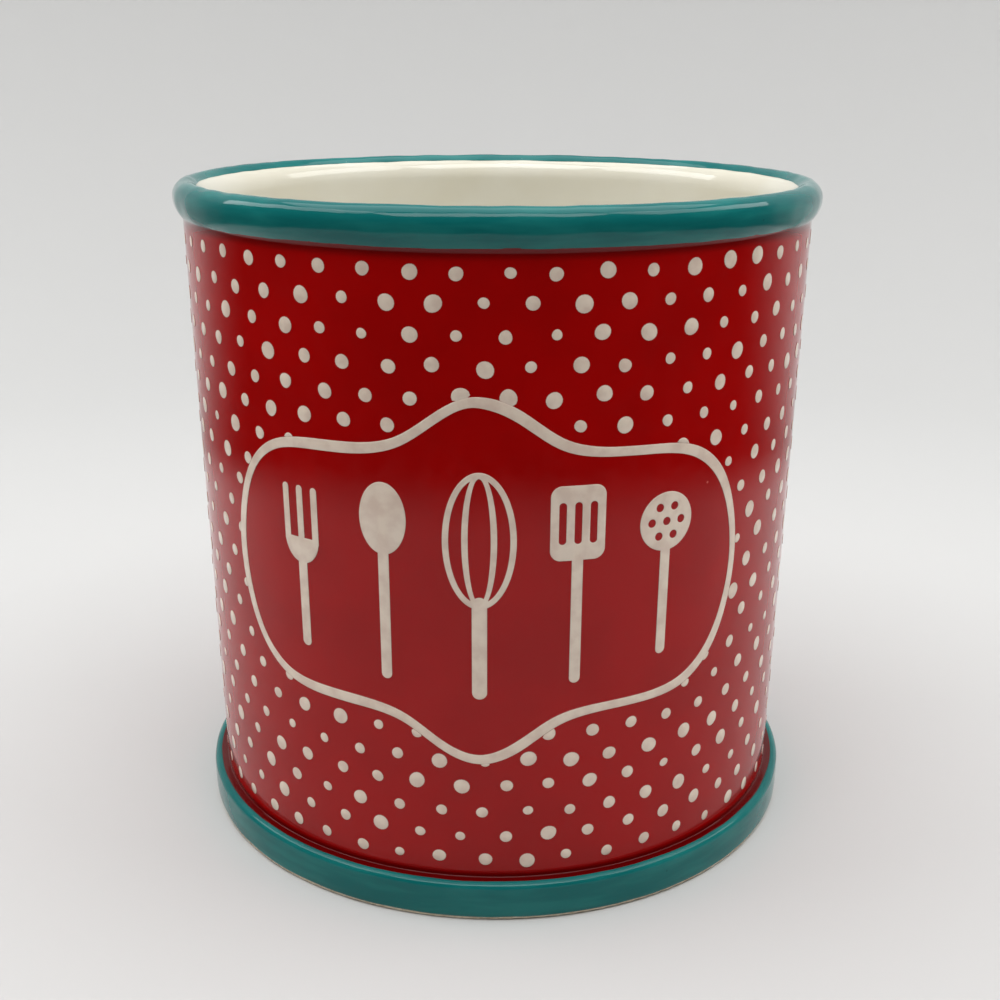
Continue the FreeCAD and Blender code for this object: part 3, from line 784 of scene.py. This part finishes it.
def bisque():
    material, tree, shader = new_material("bisque_clay")
    grain = noise(tree, object_place(tree), scale=900.0, detail=4.0)
    share = spread(tree, grain, GRAIN_COLOUR_SPAN, (0.0, 1.0))
    base = mix_colours(tree, share, BISQUE, BISQUE_DARK)
    specks = placed_group(
        tree, SPECKS, Color=base, Speck=BISQUE_SPECK, Cells=420.0, Size=0.16, Share=0.12
    )
    feed(tree, shader.inputs["Base Color"], specks["Color"])
    feed(tree, shader.inputs["Roughness"], spread(tree, grain, GRAIN_ROUGH_SPAN, BISQUE_ROUGHNESS))
    bump(tree, shader, grain, strength=0.4, distance=0.08)
    return material


# Stage and light, in metres

ROOM_RADIUS = 0.9
ROOM_HEIGHT = 0.9
ROOM_STEPS = 96
ROOM_LIGHT = 0.5
FLOOR_LEVEL = -0.0001
STAGE_OPENING = 0.0823
# The floor is flat to this radius and then sweeps up to this level
SWEEP_RADIUS = 0.5
SWEEP_LEVEL = 0.4
# Radii between which the dimming of the front sets in
DIM_RADII = (0.33, 0.42)
# Places from front to back, as shares of the room, between which the dimming ends
MIRROR_DIM_SHARES = (0.0, 0.6)
FILL_DIM_SHARES = (-0.65, -0.3)


def dim_front(tree, forward, reach):
    """How far the front of the room is dimmed, by the kind of ray. The camera sees all of it pale."""
    ray = tree.nodes.new("ShaderNodeLightPath")
    mirror_span = tuple(share * reach for share in MIRROR_DIM_SHARES)
    fill_span = tuple(share * reach for share in FILL_DIM_SHARES)
    mirrored = spread(tree, forward, mirror_span, (1.0, 0.0))
    filled = spread(tree, forward, fill_span, (1.0, 0.0))
    mirror_share = math_node(tree, "MULTIPLY", mirrored, ray.outputs["Is Glossy Ray"])
    fill_share = math_node(tree, "MULTIPLY", filled, ray.outputs["Is Diffuse Ray"])
    return math_node(tree, "MAXIMUM", mirror_share, fill_share)


def mix_shaders(tree, share, first, second):
    node = tree.nodes.new("ShaderNodeMixShader")
    feed(tree, node.inputs[0], share)
    feed(tree, node.inputs[1], first)
    feed(tree, node.inputs[2], second)
    return node.outputs["Shader"]


def stage_material():
    """Pale and plain to the camera, clear from behind. The far front of the room gives little light."""
    material, tree, shader = new_material("pale_stage")
    shader.inputs["Base Color"].default_value = STAGE_PALE
    shader.inputs["Roughness"].default_value = 0.9
    shader.inputs["Specular IOR Level"].default_value = 0.1
    parts = split_place(tree, object_place(tree))
    far = spread(tree, from_axis(tree, parts), DIM_RADII, (0.0, 1.0))
    share = math_node(tree, "MULTIPLY", far, dim_front(tree, parts["Y"], ROOM_RADIUS))
    dark = tree.nodes.new("ShaderNodeBsdfDiffuse")
    dark.inputs["Color"].default_value = STAGE_DARK
    clear = tree.nodes.new("ShaderNodeBsdfTransparent")
    behind = tree.nodes.new("ShaderNodeNewGeometry").outputs["Backfacing"]
    room = mix_shaders(tree, share, shader.outputs["BSDF"], dark.outputs["BSDF"])
    sides = mix_shaders(tree, behind, room, clear.outputs["BSDF"])
    feed(tree, tree.nodes["Material Output"].inputs["Surface"], sides)
    return material


def add_stage():
    """A pale floor that sweeps up into a round backdrop, open under the crock to light its underside."""
    opening = (STAGE_OPENING / MM, 0)
    sweep_start = (SWEEP_RADIUS / MM, 0)
    sweep_end = (ROOM_RADIUS / MM, SWEEP_LEVEL / MM)
    section = [opening]
    section += line_points(opening, sweep_start, 4)
    section += curve_points(sweep_start, 0, sweep_end, 90, 12)
    section += [(ROOM_RADIUS / MM, ROOM_HEIGHT / MM)]
    stage = drawn_section("stage", section)
    spin_section(ROOM_STEPS)
    bpy.ops.transform.translate(value=(0, 0, FLOOR_LEVEL))
    bpy.ops.mesh.normals_make_consistent(inside=True)
    bpy.ops.object.mode_set(mode="OBJECT")
    bpy.ops.object.shade_smooth()
    if stage.data.polygons[0].normal.z < 0:
        stage.data.flip_normals()
    give_material(stage, stage_material())


def add_world():
    """A pale room, whose front half gives little light."""
    world = bpy.data.worlds.new("room")
    bpy.context.scene.world = world
    world.use_nodes = True
    tree = world.node_tree
    parts = split_place(tree, tree.nodes.new("ShaderNodeTexCoord").outputs["Generated"])
    lit = math_node(tree, "SUBTRACT", 1.0, dim_front(tree, parts["Y"], 1.0))
    background = tree.nodes["Background"]
    background.inputs["Color"].default_value = (1, 1, 1, 1)
    feed(tree, background.inputs["Strength"], math_node(tree, "MULTIPLY", lit, ROOM_LIGHT))


def add_softbox(name, place, aim, turn, size, power):
    start_fresh()
    bpy.ops.object.light_add(type="AREA", location=place)
    lamp = bpy.context.object
    lamp.name = name
    lamp.data.shape = "RECTANGLE"
    lamp.data.size, lamp.data.size_y = size
    lamp.data.energy = power
    facing = (Vector(aim) - Vector(place)).to_track_quat("-Z", "Y")
    lamp.rotation_euler = (facing @ Quaternion((0, 0, 1), math.radians(turn))).to_euler()


def add_lights():
    add_softbox(
        "front_softbox", place=(0, -0.52, 1.1), aim=(0, -0.52, 0), turn=0, size=(1.16, 0.4), power=7.5
    )
    add_softbox("ceiling", place=(0, 0.25, 1.25), aim=(0, 0.25, 0), turn=0, size=(1.6, 1.0), power=10.0)
    for name, side, power in (("left_window", -1, 1.8), ("right_window", 1, 1.6)):
        add_softbox(
            name, place=(side * 0.555, 0.01, 0.675), aim=(0, 0, 0.17), turn=side * -32,
            size=(0.66, 0.22), power=power,
        )


# Build

add_camera()
RED_GLAZE = red_glaze()
TEAL_GLAZE = teal_glaze()
CREAM_GLAZE = cream_glaze()
WHITE_SLIP = white_slip()
CLAY = bisque()

finish_piece(red_coat(), RED_GLAZE, "red_glaze")
finish_piece(rim_coat(), TEAL_GLAZE, "rim_glaze")
finish_piece(liner_coat(), CREAM_GLAZE, "liner_glaze")
finish_piece(foot_coat(), TEAL_GLAZE, "foot_glaze")

BLANK = dot_blank()
for row_node in sorted(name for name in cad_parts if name.startswith(DOT_ROW)):
    dot_row(BLANK, row_node, WHITE_SLIP)
bpy.data.objects.remove(BLANK)

trailed_slip("label_line", "label_frame", WHITE_SLIP)
for tool in LABEL_TOOLS:
    trailed_slip(f"{tool}_drawing", f"motif_{tool}", WHITE_SLIP)

for clay_node in CLAY_NODES:
    give_material(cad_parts[clay_node], CLAY)
give_material(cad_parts["underside_glaze"], CREAM_GLAZE)

add_stage()
add_world()
add_lights()
bpy.context.scene.view_settings.view_transform = "Standard"
